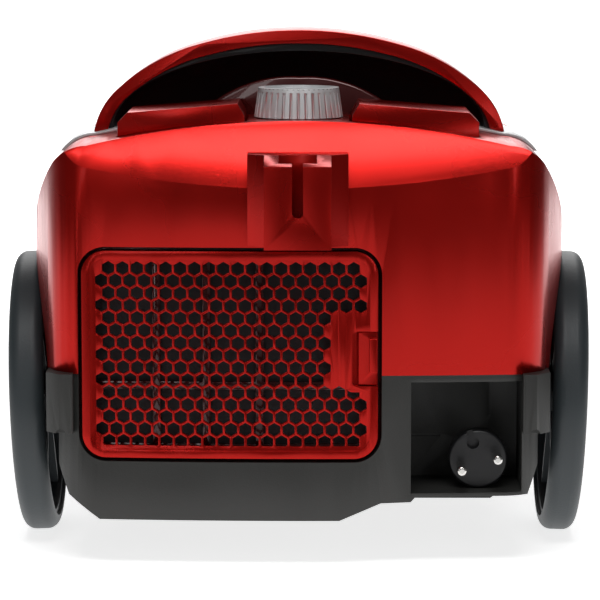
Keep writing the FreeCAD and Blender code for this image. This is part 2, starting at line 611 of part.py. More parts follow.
def arch_parts():
    swell = housing_form(-TRIM_THICK)
    strip = swell.cut(HOUSING_SOLID)
    strip = strip.common(box((ARCH_HALF - 17, FENDER_HALF + 5), (ARCH_Y[0] - 8, ARCH_Y[1] + 8),
                             (SHOULDER_Z - 8, DECK_Z)))
    add("deck_trim", Part.makeCompound([strip, mirrored(strip)]))
    outer = half_ellipse(ARCH_HALF, ARCH_TOP_Z - ARCH_BASE_Z, ARCH_BASE_Z, ARCH_Y)
    inner = half_ellipse(ARCH_HALF - ARCH_BAND, ARCH_TOP_Z - ARCH_BASE_Z - ARCH_BAND,
                         ARCH_BASE_Z, (ARCH_Y[0] - 1, ARCH_Y[1] + 1))
    arch = outer.cut(inner)
    arch = arch.cut(swell)
    add("carry_handle", arch)
    liner = half_ellipse(ARCH_HALF - ARCH_BAND, ARCH_TOP_Z - ARCH_BASE_Z - ARCH_BAND, ARCH_BASE_Z, LINER_Y)
    scoop = Part.makeSphere(1)
    grow = FreeCAD.Matrix()
    grow.scale(V(ARCH_HALF - ARCH_BAND - 4, LINER_Y[1] - LINER_Y[0] - 5,
                 ARCH_TOP_Z - DECK_Z - ARCH_BAND + 4))
    scoop = scoop.transformGeometry(grow)
    scoop.translate(V(0, LINER_Y[0] - 0.5, DECK_Z - 8))
    liner = liner.cut(scoop)
    add("grip_liner", liner.cut(swell))


# ---------------------------------------------------------------- inside
def motor_parts():
    can = tube(MOTOR_R, MOTOR_R - 2, (MOTOR_X, MOTOR_Y[0], MOTOR_Z), (MOTOR_X, MOTOR_Y[1], MOTOR_Z))
    end_y = MOTOR_Y[0] + 3
    cap = tube(MOTOR_R - 2, 5 + RUN_FIT, (MOTOR_X, MOTOR_Y[0], MOTOR_Z), (MOTOR_X, end_y, MOTOR_Z))
    for k in range(6):
        turn = math.radians(60 * k)
        x = MOTOR_X + 26 * math.cos(turn)
        z = MOTOR_Z + 26 * math.sin(turn)
        cap = cap.cut(rod(8, (x, MOTOR_Y[0] - 1, z), (x, end_y + 1, z)))
    add("motor_can", can.fuse(cap))
    add("motor_stator", tube(MOTOR_R - 2, 27, (MOTOR_X, MOTOR_Y[0] + 16, MOTOR_Z),
                             (MOTOR_X, MOTOR_Y[1] - 14, MOTOR_Z)))
    shaft = rod(5, (MOTOR_X, MOTOR_Y[0] + 0.5, MOTOR_Z), (MOTOR_X, FAN_Y[1] - 8, MOTOR_Z))
    core = tube(26, 5, (MOTOR_X, MOTOR_Y[0] + 16, MOTOR_Z), (MOTOR_X, MOTOR_Y[1] - 14, MOTOR_Z))
    add("motor_shaft", shaft)
    add("motor_armature", core)
    back = tube(FAN_R - 5, 5, (MOTOR_X, FAN_Y[0] + 6, MOTOR_Z), (MOTOR_X, FAN_Y[0] + 8, MOTOR_Z))
    blades = back
    for k in range(9):
        blade = box((MOTOR_X + 14, MOTOR_X + FAN_R - 6), (FAN_Y[0] + 8, FAN_Y[1] - 10),
                    (MOTOR_Z - 0.8, MOTOR_Z + 0.8))
        blade.rotate(V(MOTOR_X + 14, 0, MOTOR_Z), V(0, 1, 0), 28)
        blade.rotate(V(MOTOR_X, 0, MOTOR_Z), V(0, 1, 0), 40 * k)
        blades = blades.fuse(blade)
    front_y = FAN_Y[1] - 10
    front = tube(FAN_R - 5, 16, (MOTOR_X, front_y, MOTOR_Z), (MOTOR_X, front_y + 2, MOTOR_Z))
    add("fan_impeller", blades.fuse(front))
    scroll = tube(FAN_R, FAN_R - 3, (MOTOR_X, FAN_Y[0], MOTOR_Z), (MOTOR_X, FAN_Y[1], MOTOR_Z))
    rear_plate = tube(FAN_R - 3, 20, (MOTOR_X, FAN_Y[0], MOTOR_Z), (MOTOR_X, FAN_Y[0] + 2, MOTOR_Z))
    front_plate = tube(FAN_R - 3, 15, (MOTOR_X, FAN_Y[1] - 2, MOTOR_Z), (MOTOR_X, FAN_Y[1], MOTOR_Z))
    add("fan_housing", scroll.fuse(rear_plate).fuse(front_plate))
    cradle = box((MOTOR_X - 40, MOTOR_X + 40), (MOTOR_Y[0] + 10, MOTOR_Y[1] - 10),
                 (BASE_Z + WALL, MOTOR_Z - 10))
    cradle = cradle.cut(rod(MOTOR_R, (MOTOR_X, MOTOR_Y[0], MOTOR_Z), (MOTOR_X, MOTOR_Y[1], MOTOR_Z)))
    add("motor_cradle", cradle.cut(NODES["base_tray"]))
    duct_y = (FAN_Y[1], BIN_Y - 75)
    lower = tube(26, 22, (MOTOR_X, duct_y[0], MOTOR_Z), (MOTOR_X, duct_y[0] + 6, MOTOR_Z))
    riser_room = box((MOTOR_X - 18, MOTOR_X + 18), (duct_y[0] + 4, duct_y[0] + 24), (MOTOR_Z, INTAKE_Z + 18))
    riser = box((MOTOR_X - 21, MOTOR_X + 21), (duct_y[0] + 1.5, duct_y[0] + 27), (MOTOR_Z - 24, INTAKE_Z + 21))
    riser = riser.fuse(tube(INTAKE_R, INTAKE_R - 2.5, (MOTOR_X, duct_y[0] + 20, INTAKE_Z),
                            (MOTOR_X, BIN_Y - 40, INTAKE_Z)))
    riser = riser.fuse(lower)
    riser = riser.cut(riser_room)
    riser = riser.cut(rod(15, (MOTOR_X, duct_y[0] - 1, MOTOR_Z), (MOTOR_X, duct_y[0] + 8, MOTOR_Z)))
    riser = riser.cut(rod(INTAKE_R - 2.5, (MOTOR_X, duct_y[0] + 16, INTAKE_Z), (MOTOR_X, BIN_Y, INTAKE_Z)))
    riser = riser.cut(rod(BIN_R + BIN_GAP, (0, BIN_Y, 50), (0, BIN_Y, 250)))
    add("intake_duct", riser.cut(NODES["rear_housing"]))


def reel_parts():
    z = PLUG_Z + CORD_R + REEL_PACK_R
    half = REEL_WIDTH / 2
    x0, x1 = REEL_X - half, REEL_X + half
    drum = tube(24, REEL_SHAFT_R + RUN_FIT, (x0, REEL_Y, z), (x1, REEL_Y, z))
    for x in (x0, x1 - 2):
        drum = drum.fuse(tube(REEL_FLANGE_R, 20, (x, REEL_Y, z), (x + 2, REEL_Y, z)))
    add("cord_reel", drum)
    add("wound_cord", tube(REEL_PACK_R, 24, (x0 + 2, REEL_Y, z), (x1 - 2, REEL_Y, z)))
    shaft = rod(REEL_SHAFT_R, (x0 - 5, REEL_Y, z), (x1 + 3.5, REEL_Y, z))
    add("reel_shaft", shaft)
    foot_z = BASE_Z + WALL
    plates = []
    for x in (x0 - 4, x1 + 0.8):
        plate = box((x, x + 2.5), (REEL_Y - 16, REEL_Y + 16), (foot_z, z + 12))
        plates.append(plate.cut(rod(REEL_SHAFT_R, (x - 1, REEL_Y, z), (x + 4, REEL_Y, z))))
    foot = box((x0 - 4, x1 - 6), (REEL_Y - 16, REEL_Y + 16), (foot_z, foot_z + 2.5))
    strap_z = z - REEL_FLANGE_R - 8
    strap = box((x0 - 4, x1 + 3.3), (REEL_Y - 8, REEL_Y + 8), (strap_z, strap_z + 3))
    bracket = plates[0].fuse(plates[1]).fuse(foot).fuse(strap).cut(NODES["base_tray"])
    add("reel_bracket", max(bracket.Solids, key=lambda s: s.Volume))
    spring_case = tube(34, REEL_SHAFT_R, (x0 - 14, REEL_Y, z), (x0 - 4, REEL_Y, z))
    add("reel_spring_case", spring_case)


def plug_parts():
    def plug_point(y):
        return (PLUG_X, y, PLUG_Z)
    back = PLUG_FACE_Y + PLUG_LENGTH
    body = rod(PLUG_R, plug_point(PLUG_FACE_Y), plug_point(PLUG_FACE_Y + 10))
    body = body.fuse(cone(PLUG_R, 8, plug_point(PLUG_FACE_Y + 10), plug_point(back)))
    body = body.makeFillet(1.5, [e for e in body.Edges if abs(e.BoundBox.YMin - PLUG_FACE_Y) < 0.1
                                 and abs(e.BoundBox.YMax - PLUG_FACE_Y) < 0.1])
    roll = math.radians(PLUG_ROLL)
    up = (-math.sin(roll), math.cos(roll))
    notch = rod(3.2, (PLUG_X + up[0] * 9, PLUG_FACE_Y - 1, PLUG_Z + up[1] * 9),
                (PLUG_X + up[0] * 9, PLUG_FACE_Y + 4, PLUG_Z + up[1] * 9))
    slit = box((PLUG_X - 1.6, PLUG_X + 1.6), (PLUG_FACE_Y - 1, PLUG_FACE_Y + 4), (PLUG_Z + 9, PLUG_Z + 20))
    slit.rotate(V(PLUG_X, 0, PLUG_Z), V(0, 1, 0), -PLUG_ROLL)
    body = body.cut(notch).cut(slit)
    pins = []
    for way in (-1, 1):
        x = PLUG_X + way * PIN_PITCH / 2 * math.cos(roll)
        z = PLUG_Z + way * PIN_PITCH / 2 * math.sin(roll)
        pin = rod(PIN_R, (x, PLUG_FACE_Y - PIN_LENGTH, z), (x, PLUG_FACE_Y + 6, z))
        tip = [e for e in pin.Edges if e.BoundBox.YMax < PLUG_FACE_Y - PIN_LENGTH + 0.1]
        pin = pin.makeFillet(1.2, tip)
        body = body.cut(pin)
        pins.append(pin)
    add("plug_body", body)
    add("plug_pins", Part.makeCompound(pins))
    relief = cone(6.5, 4.2, plug_point(back), plug_point(REAR_Y + BAY_DEPTH - 1))
    relief = relief.cut(rod(CORD_R, plug_point(back - 1), plug_point(back + 60)))
    add("plug_strain_relief", relief)
    add("cord_lead", rod(CORD_R, plug_point(back), plug_point(REEL_Y)))
    ring_y = REAR_Y + BAY_DEPTH
    add("cord_grommet", tube(GROMMET_R, CORD_R + 0.25, plug_point(ring_y), plug_point(ring_y + BAY_WALL)))


# ---------------------------------------------------------------- running gear
def to_wheel(shape):
    """Move a shape built on the X axis, outer plane at x = 0, to the right wheel's place."""
    shape.rotate(V(0, 0, 0), V(0, 1, 0), CAMBER)
    shape.translate(V(WHEEL_OUT_X, AXLE_Y, AXLE_Z))
    return shape


def wheels():
    inner = WHEEL_R - TYRE_DEPTH
    tyre = tube(WHEEL_R, inner, (-WHEEL_WIDTH, 0, 0), (0, 0, 0))
    rims = [e for e in tyre.Edges if e.BoundBox.YLength > 2 * WHEEL_R - 1 and e.BoundBox.XLength < 0.1]
    tyre = tyre.makeFillet(TYRE_ROUND, rims)
    rim = tube(inner, inner - 3, (-WHEEL_WIDTH + 2, 0, 0), (-2, 0, 0))
    web = tube(inner, AXLE_R + RUN_FIT, (-5, 0, 0), (-2, 0, 0))
    hub = tube(13, AXLE_R + RUN_FIT, (-WHEEL_WIDTH + 1, 0, 0), (-2, 0, 0))
    disc = rim.fuse(web).fuse(hub)
    for k in range(6):
        spoke = box((-14, -4), (12, inner - 2), (-1.2, 1.2))
        spoke.rotate(V(0, 0, 0), V(1, 0, 0), 60 * k)
        disc = disc.fuse(spoke)
    cap = rod(36, (-2, 0, 0), (-0.4, 0, 0))
    cap = cap.makeFillet(1.0, [e for e in cap.Edges if e.BoundBox.XMin > -0.5])
    axle = rod(AXLE_R, (-AXLE_END, 0, 0), (-3.5, 0, 0))
    for name, shape in (("tyre", tyre), ("wheel", disc), ("hub_cap", cap)):
        placed = to_wheel(shape)
        add(name + "_right", placed)
        add(name + "_left", mirrored(placed))
    placed = to_wheel(axle)
    add("wheel_axles", Part.makeCompound([placed, mirrored(placed)]))


def caster():
    pin_top = CASTER_ROOF_Z - 0.6
    fork_z = (CASTER_R + 4.0, CASTER_ROOF_Z - 8.6)
    post = rod(CASTER_PIN_R, (0, CASTER_Y, fork_z[1] - 4), (0, CASTER_Y, pin_top))
    plate = rod(13, (0, CASTER_Y, fork_z[1] - 4), (0, CASTER_Y, fork_z[1]))
    axle_y = CASTER_Y - CASTER_TRAIL
    half = CASTER_WIDTH / 2
    fork = post.fuse(plate)
    for x in (-half - 3.5, half + 0.5):
        cheek = box((x, x + 3), (axle_y - 6, CASTER_Y + 6), (CASTER_R - 6, fork_z[1] - 1))
        fork = fork.fuse(cheek)
    bridge = box((-half - 3.5, half + 3.5), (axle_y - 4, CASTER_Y + 6), (fork_z[1] - 4, fork_z[1] - 0.5))
    fork = fork.fuse(bridge)
    fork = fork.cut(rod(2, (-20, axle_y, CASTER_R), (20, axle_y, CASTER_R)))
    add("caster_fork", fork)
    wheel = tube(CASTER_R, 2 + RUN_FIT, (-half, axle_y, CASTER_R), (half, axle_y, CASTER_R))
    wheel = wheel.makeFillet(3, [e for e in wheel.Edges if e.BoundBox.ZLength > 2 * CASTER_R - 1
                                 and e.BoundBox.XLength < 0.1])
    add("caster_wheel", wheel)
    add("caster_axle", rod(2, (-half - 3.5, axle_y, CASTER_R), (half + 3.5, axle_y, CASTER_R)))


# ---------------------------------------------------------------- dust bin
def dust_bin():
    z0, z1 = BIN_BASE_Z, BIN_TOP_Z
    cup = rod(BIN_R, (0, BIN_Y, z0), (0, BIN_Y, z1)).cut(
        rod(BIN_R - BIN_WALL, (0, BIN_Y, z0 + 3), (0, BIN_Y, z1 + 1)))
    cup = cup.cut(rod(INLET_R, (0, BIN_Y + 40, INLET_Z), (0, BIN_Y + 90, INLET_Z)))
    cup = cup.cut(rod(INTAKE_R - 2.5, (MOTOR_X, BIN_Y - 90, INTAKE_Z), (MOTOR_X, BIN_Y - 40, INTAKE_Z)))
    add("dust_bin", cup)
    deck_z = z1 - 58
    inner = BIN_R - BIN_WALL
    plate = tube(inner, 30, (0, BIN_Y, deck_z), (0, BIN_Y, deck_z + 2.5))
    add("cyclone_plate", plate)
    skirt = tube(34, 30, (0, BIN_Y, deck_z - 52), (0, BIN_Y, deck_z))
    for k in range(12):
        turn = math.radians(30 * k)
        x, y = 40 * math.cos(turn), 40 * math.sin(turn)
        for z in (deck_z - 44, deck_z - 32, deck_z - 20, deck_z - 8):
            skirt = skirt.cut(rod(4.0, (0, BIN_Y, z), (x, BIN_Y + y, z)))
    add("cyclone_shroud", skirt)
    cone_top, cone_low = deck_z + 2.5, deck_z - 74
    funnel = cone(12, 29.7, (0, BIN_Y, cone_low), (0, BIN_Y, cone_top))
    funnel = funnel.cut(cone(10, 27.7, (0, BIN_Y, cone_low), (0, BIN_Y, cone_top)))
    flange = tube(36, 27.0, (0, BIN_Y, cone_top), (0, BIN_Y, cone_top + 2))
    add("cyclone_cone", funnel.fuse(flange))
    filter_z = z1 - 16
    add("pre_filter", rod(inner - 0.5, (0, BIN_Y, filter_z), (0, BIN_Y, filter_z + 12)))
    carrier = tube(inner, inner - 8, (0, BIN_Y, filter_z - 2.5), (0, BIN_Y, filter_z))
    add("filter_seat", carrier)
    add("bin_seal", tube(BIN_R - 0.4, BIN_R - 2.2, (0, BIN_Y, z1), (0, BIN_Y, z1 + 1.5)))
    lid_z = z1 + 1.5
    lid = rod(BIN_R, (0, BIN_Y, lid_z), (0, BIN_Y, lid_z + LID_H - 4))
    lid = lid.makeFillet(7, [e for e in lid.Edges if e.BoundBox.ZMin > lid_z + LID_H - 4.1])
    lid = lid.cut(rod(BIN_R - 10, (0, BIN_Y, lid_z - 1), (0, BIN_Y, lid_z + LID_H - 8)))
    grip = box((-34, 34), (BIN_Y - 9, BIN_Y + 9), (lid_z + LID_H - 5, lid_z + LID_H + 12))
    grip = grip.makeFillet(6, [e for e in grip.Edges if e.BoundBox.XLength > 60
                               and e.BoundBox.ZMin > lid_z + LID_H])
    window = box((-24, 24), (BIN_Y - 20, BIN_Y + 20), (lid_z + LID_H - 4, lid_z + LID_H + 5))
    add("bin_lid", lid.fuse(grip.cut(window)))
    hinge_y = BIN_Y + BIN_R + 2.2
    knuckles = rod(2.2, (-14, hinge_y, z1), (14, hinge_y, z1))
    arm = box((-14, 14), (BIN_Y + BIN_R - 1.2, hinge_y), (z1 - 7, z1))
    arm = arm.cut(rod(BIN_R, (0, BIN_Y, z1 - 20), (0, BIN_Y, z1 + 10)))
    add("lid_hinge", knuckles.fuse(arm))


def fasteners():
    screws = []
    for x, y in SCREW_SPOTS:
        screw = rod(3.4, (x, y, BASE_Z + 0.8), (x, y, BASE_Z + 3))
        screws.append(screw.fuse(rod(1.6, (x, y, BASE_Z + 3), (x, y, SEAM_Z - 4))))
    add("case_screws", Part.makeCompound(screws))


HOUSING_SOLID = housing_form().common(box((-200, 200), (-300, 300), (SEAM_Z, 300)))
HOUSING_ROOM = housing_form(WALL)
BASE_SOLID = base_form()
BASE_ROOM = base_form(WALL, SEAM_Z + 5)

housing()
base_tray()
nose_cover()
hose_inlet()
exhaust_grille()
exhaust_stack()
parking_bracket()
side_clips()
top_parts()
arch_parts()
motor_parts()
reel_parts()
plug_parts()
wheels()
caster()
dust_bin()
fasteners()

for name, shape in NODES.items():
    shape.exportStep("parts/" + name + ".step")
    size = shape.BoundBox
    print(f"{name:20s} solids {len(shape.Solids)} valid {shape.isValid()} vol {shape.Volume:10.0f}"
          f" z {size.ZMin:.2f}..{size.ZMax:.2f} y {size.YMin:.1f}..{size.YMax:.1f}"
          f" x {size.XMin:.1f}..{size.XMax:.1f}")
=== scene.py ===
# %% [markdown]
# # Canister vacuum cleaner
# A red canister seen from behind: a lacquered housing on a dark grey base, two big cambered wheels, an
# exhaust door with a honeycomb, a parked mains plug in its bay and a carrying arch on top.  The measured
# model gives every size and every moving body.  This lesson rounds its edges and gives it its finishes.

# %% Frame
import json
import math

import bmesh
import bpy
from mathutils import Matrix, Vector


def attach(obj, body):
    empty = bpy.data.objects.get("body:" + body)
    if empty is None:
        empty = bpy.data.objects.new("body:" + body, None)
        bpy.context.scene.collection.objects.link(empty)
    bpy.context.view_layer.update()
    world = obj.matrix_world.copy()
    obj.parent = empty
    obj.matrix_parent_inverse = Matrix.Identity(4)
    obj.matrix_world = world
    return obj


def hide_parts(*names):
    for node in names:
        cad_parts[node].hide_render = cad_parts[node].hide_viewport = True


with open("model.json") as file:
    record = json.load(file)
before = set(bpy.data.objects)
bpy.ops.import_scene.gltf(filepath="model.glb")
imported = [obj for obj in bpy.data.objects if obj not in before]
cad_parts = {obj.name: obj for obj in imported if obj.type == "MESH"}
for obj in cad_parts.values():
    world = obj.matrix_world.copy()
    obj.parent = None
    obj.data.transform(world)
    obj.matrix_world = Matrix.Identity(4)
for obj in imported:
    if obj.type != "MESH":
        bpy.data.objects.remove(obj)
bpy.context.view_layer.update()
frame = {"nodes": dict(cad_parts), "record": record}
BODY_OF = {node: body for body, nodes in frame["record"]["behaviour"]["bodies"].items() for node in nodes}
SLOT_OF = {part["node"]: part["material_slot"] for part in frame["record"]["subparts"]}

# %% [markdown]
# ## Camera
# A long lens well back keeps the rear face square and the wheels slim, as in a catalogue picture.  The
# camera stands a little above the object and looks down by seven degrees.

# %% Camera
CAMERA_PLACE = (0.0109, -1.6947, 0.3315)
CAMERA_PITCH = 0.1276
CAMERA_YAW = 0.0065
LENS = 182.2

camera_data = bpy.data.cameras.new("camera")
camera_data.lens = LENS
camera_data.sensor_width = 36.0
camera = bpy.data.objects.new("camera", camera_data)
camera.location = CAMERA_PLACE
camera.rotation_euler = (math.pi / 2 - CAMERA_PITCH, 0.0, CAMERA_YAW)
bpy.context.scene.collection.objects.link(camera)
bpy.context.scene.camera = camera

# %% [markdown]
# ## Studio
# The floor is one pale sheet that bends up into a wall behind, so no horizon shows.  A bmesh strip
# extruded along a quarter circle makes it.  It glows a little round the canister and fades to grey in
# front and to the sides, so that glossy red mirrors dark surroundings there.  Large soft lamps do the
# rest: one above gives the bright shoulders, and two narrow strips draw highlights down the rear face.

# %% Floor and wall
SWEEP_WIDTH = 9.0
SWEEP_FRONT = -4.5
SWEEP_BACK = 2.6
SWEEP_RADIUS = 1.2
SWEEP_TOP = 5.0
SWEEP_STEPS = 16
GLOW = 0.75
DARK_FROM_Y = -0.85
BRIGHT_FROM_Y = -0.2
FRONT_GLOW = 0.05
DARK_FROM_X = 1.5
BRIGHT_TO_X = 0.7
SIDE_GLOW = 0.2
SWEEP_GREY = (0.34, 0.34, 0.34, 1)
SWEEP_WHITE = (0.90, 0.90, 0.90, 1)


def new_piece(name, mesh_maker):
    """A linked object at the origin whose mesh the given function builds in a bmesh."""
    mesh = bpy.data.meshes.new(name)
    work = bmesh.new()
    mesh_maker(work)
    work.to_mesh(mesh)
    work.free()
    piece = bpy.data.objects.new(name, mesh)
    bpy.context.scene.collection.objects.link(piece)
    return piece


def build_sweep(work):
    half = SWEEP_WIDTH / 2
    ends = [work.verts.new((x, SWEEP_FRONT, 0)) for x in (-half, half)]
    edge = work.edges.new(ends)

    def push(edges, step):
        made = bmesh.ops.extrude_edge_only(work, edges=edges)["geom"]
        verts = [g for g in made if isinstance(g, bmesh.types.BMVert)]
        bmesh.ops.translate(work, verts=verts, vec=step)
        return [g for g in made if isinstance(g, bmesh.types.BMEdge)
                and all(v in verts for v in g.verts)]

    front = push([edge], Vector((0, SWEEP_BACK - SWEEP_FRONT, 0)))
    for k in range(SWEEP_STEPS):
        a = math.pi / 2 * k / SWEEP_STEPS
        b = math.pi / 2 * (k + 1) / SWEEP_STEPS
        step = Vector((0, math.sin(b) - math.sin(a), math.cos(a) - math.cos(b))) * SWEEP_RADIUS
        front = push(front, step)
    push(front, Vector((0, 0, SWEEP_TOP - SWEEP_RADIUS)))
    bmesh.ops.recalc_face_normals(work, faces=work.faces)


floor = new_piece("studio_sweep", build_sweep)
floor.data.polygons.foreach_set("use_smooth", [True] * len(floor.data.polygons))
floor_paint = bpy.data.materials.new("studio_white")
floor_paint.use_nodes = True
floor_shader = floor_paint.node_tree.nodes["Principled BSDF"]
floor_shader.inputs["Roughness"].default_value = 0.9
floor_shader.inputs["Specular IOR Level"].default_value = 0.1
floor_shader.inputs["Emission Strength"].default_value = GLOW
floor_tree = floor_paint.node_tree
floor_coord = floor_tree.nodes.new("ShaderNodeTexCoord")
floor_axes = floor_tree.nodes.new("ShaderNodeSeparateXYZ")
floor_fade = floor_tree.nodes.new("ShaderNodeMapRange")
floor_fade.inputs["From Min"].default_value = DARK_FROM_Y
floor_fade.inputs["From Max"].default_value = BRIGHT_FROM_Y
floor_fade.inputs["To Min"].default_value = FRONT_GLOW
floor_tree.links.new(floor_coord.outputs["Object"], floor_axes.inputs[0])
floor_tree.links.new(floor_axes.outputs["Y"], floor_fade.inputs["Value"])
floor_side = floor_tree.nodes.new("ShaderNodeMath")
floor_side.operation = "ABSOLUTE"
floor_side_fade = floor_tree.nodes.new("ShaderNodeMapRange")
floor_side_fade.inputs["From Min"].default_value = BRIGHT_TO_X
floor_side_fade.inputs["From Max"].default_value = DARK_FROM_X
floor_side_fade.inputs["To Min"].default_value = 1.0
floor_side_fade.inputs["To Max"].default_value = SIDE_GLOW
floor_mask = floor_tree.nodes.new("ShaderNodeMath")
floor_mask.operation = "MULTIPLY"
floor_mix = floor_tree.nodes.new("ShaderNodeMix")
floor_mix.data_type = "RGBA"
floor_mix.inputs["A"].default_value = SWEEP_GREY
floor_mix.inputs["B"].default_value = SWEEP_WHITE
floor_tree.links.new(floor_axes.outputs["X"], floor_side.inputs[0])
floor_tree.links.new(floor_side.outputs[0], floor_side_fade.inputs["Value"])
floor_tree.links.new(floor_fade.outputs["Result"], floor_mask.inputs[0])
floor_tree.links.new(floor_side_fade.outputs["Result"], floor_mask.inputs[1])
floor_tree.links.new(floor_mask.outputs[0], floor_mix.inputs["Factor"])
floor_tree.links.new(floor_mix.outputs["Result"], floor_shader.inputs["Base Color"])
floor_tree.links.new(floor_mask.outputs[0], floor_shader.inputs["Emission Color"])
floor.data.materials.append(floor_paint)

# %% Lamps
LAMPS = {
    # name: (place, aim, width, height, watts)
    "key_above": ((0.0, -0.75, 1.15), (0.0, -0.12, 0.19), 0.7, 0.30, 5.5),
    "left_strip": ((-0.50, -1.35, 0.55), (0.0, -0.10, 0.14), 0.12, 0.7, 0.85),
    "right_strip": ((0.50, -1.35, 0.55), (0.0, -0.10, 0.14), 0.12, 0.7, 0.85),
    "front_wash": ((0.0, 1.30, 1.30), (0.0, 0.0, 0.15), 1.4, 0.9, 7.0),
    "back_wall": ((0.0, 1.0, 1.6), (0.0, 3.6, 0.9), 2.4, 1.0, 60.0),
}


def lamp(name, place, aim, width, height, watts):
    data = bpy.data.lights.new(name, "AREA")
    data.shape = "RECTANGLE"
    data.size = width
    data.size_y = height
    data.energy = watts
    made = bpy.data.objects.new(name, data)
    made.location = place
    made.rotation_euler = (Vector(aim) - Vector(place)).to_track_quat("-Z", "Y").to_euler()
    bpy.context.scene.collection.objects.link(made)


for lamp_name, values in LAMPS.items():
    lamp(lamp_name, *values)
world = bpy.data.worlds.new("studio_air")
world.use_nodes = True
world.node_tree.nodes["Background"].inputs["Color"].default_value = (1, 1, 1, 1)
world.node_tree.nodes["Background"].inputs["Strength"].default_value = 0.08
bpy.context.scene.world = world
bpy.context.scene.view_settings.view_transform = "Standard"
print("lamps", len(LAMPS))

# %% [markdown]
# ## Finishes
# Two small node groups serve nearly every finish.  *moulding_grain* gives a fine height for the Bump
# node, as spark-eroded moulds leave on plastic.  *handling* gives a slow mask that shifts roughness and
# shade a little, as fingers and cloths do.  Both read Object coordinates, so they stay put in every view.

# %% Shared groups
def group(name, inputs, outputs):
    made = bpy.data.node_groups.new(name, "ShaderNodeTree")
    for label, default in inputs:
        socket = made.interface.new_socket(label, in_out="INPUT", socket_type="NodeSocketFloat")
        socket.default_value = default
    for label in outputs:
        made.interface.new_socket(label, in_out="OUTPUT", socket_type="NodeSocketFloat")
    return made, made.nodes.new("NodeGroupInput"), made.nodes.new("NodeGroupOutput")


grain_group, grain_in, grain_out = group("moulding_grain", [("Scale", 900.0), ("Depth", 1.0)], ["Height"])
grain_coord = grain_group.nodes.new("ShaderNodeTexCoord")
grain_noise = grain_group.nodes.new("ShaderNodeTexNoise")
grain_noise.inputs["Detail"].default_value = 3.0
grain_times = grain_group.nodes.new("ShaderNodeMath")
grain_times.operation = "MULTIPLY"
grain_group.links.new(grain_coord.outputs["Object"], grain_noise.inputs["Vector"])
grain_group.links.new(grain_in.outputs["Scale"], grain_noise.inputs["Scale"])
grain_group.links.new(grain_noise.outputs["Fac"], grain_times.inputs[0])
grain_group.links.new(grain_in.outputs["Depth"], grain_times.inputs[1])
grain_group.links.new(grain_times.outputs[0], grain_out.inputs["Height"])

handling_group, handling_in, handling_out = group("handling", [("Low", 0.0), ("High", 1.0)], ["Mask"])
handling_coord = handling_group.nodes.new("ShaderNodeTexCoord")
handling_noise = handling_group.nodes.new("ShaderNodeTexNoise")
handling_noise.inputs["Scale"].default_value = 14.0
handling_noise.inputs["Detail"].default_value = 4.0
handling_range = handling_group.nodes.new("ShaderNodeMapRange")
handling_range.inputs["From Min"].default_value = 0.35
handling_range.inputs["From Max"].default_value = 0.65
handling_group.links.new(handling_coord.outputs["Object"], handling_noise.inputs["Vector"])
handling_group.links.new(handling_noise.outputs["Fac"], handling_range.inputs["Value"])
handling_group.links.new(handling_in.outputs["Low"], handling_range.inputs["To Min"])
handling_group.links.new(handling_in.outputs["High"], handling_range.inputs["To Max"])
handling_group.links.new(handling_range.outputs["Result"], handling_out.inputs["Mask"])


def finish(name, color, rough, grain=(900.0, 0.0), shade=0.06, **sockets):
    """A Principled material: colour drifts by shade, roughness between two values, fine grain as bump."""
    made = bpy.data.materials.new(name)
    made.use_nodes = True
    tree = made.node_tree
    shader = tree.nodes["Principled BSDF"]
    for label, value in sockets.items():
        shader.inputs[label.replace("_", " ")].default_value = value
    mask = tree.nodes.new("ShaderNodeGroup")
    mask.node_tree = handling_group
    mask.inputs["Low"].default_value = rough[0]
    mask.inputs["High"].default_value = rough[1]
    tree.links.new(mask.outputs["Mask"], shader.inputs["Roughness"])
    drift = tree.nodes.new("ShaderNodeGroup")
    drift.node_tree = handling_group
    mix = tree.nodes.new("ShaderNodeMix")
    mix.data_type = "RGBA"
    mix.inputs["A"].default_value = (*[c * (1 - shade) for c in color], 1)
    mix.inputs["B"].default_value = (*[min(1.0, c * (1 + shade)) for c in color], 1)
    tree.links.new(drift.outputs["Mask"], mix.inputs["Factor"])
    tree.links.new(mix.outputs["Result"], shader.inputs["Base Color"])
    if grain[1]:
        height = tree.nodes.new("ShaderNodeGroup")
        height.node_tree = grain_group
        height.inputs["Scale"].default_value = grain[0]
        height.inputs["Depth"].default_value = 1.0
        bump = tree.nodes.new("ShaderNodeBump")
        bump.inputs["Strength"].default_value = grain[1]
        bump.inputs["Distance"].default_value = 0.0004
        tree.links.new(height.outputs["Height"], bump.inputs["Height"])
        tree.links.new(bump.outputs["Normal"], shader.inputs["Normal"])
    return made


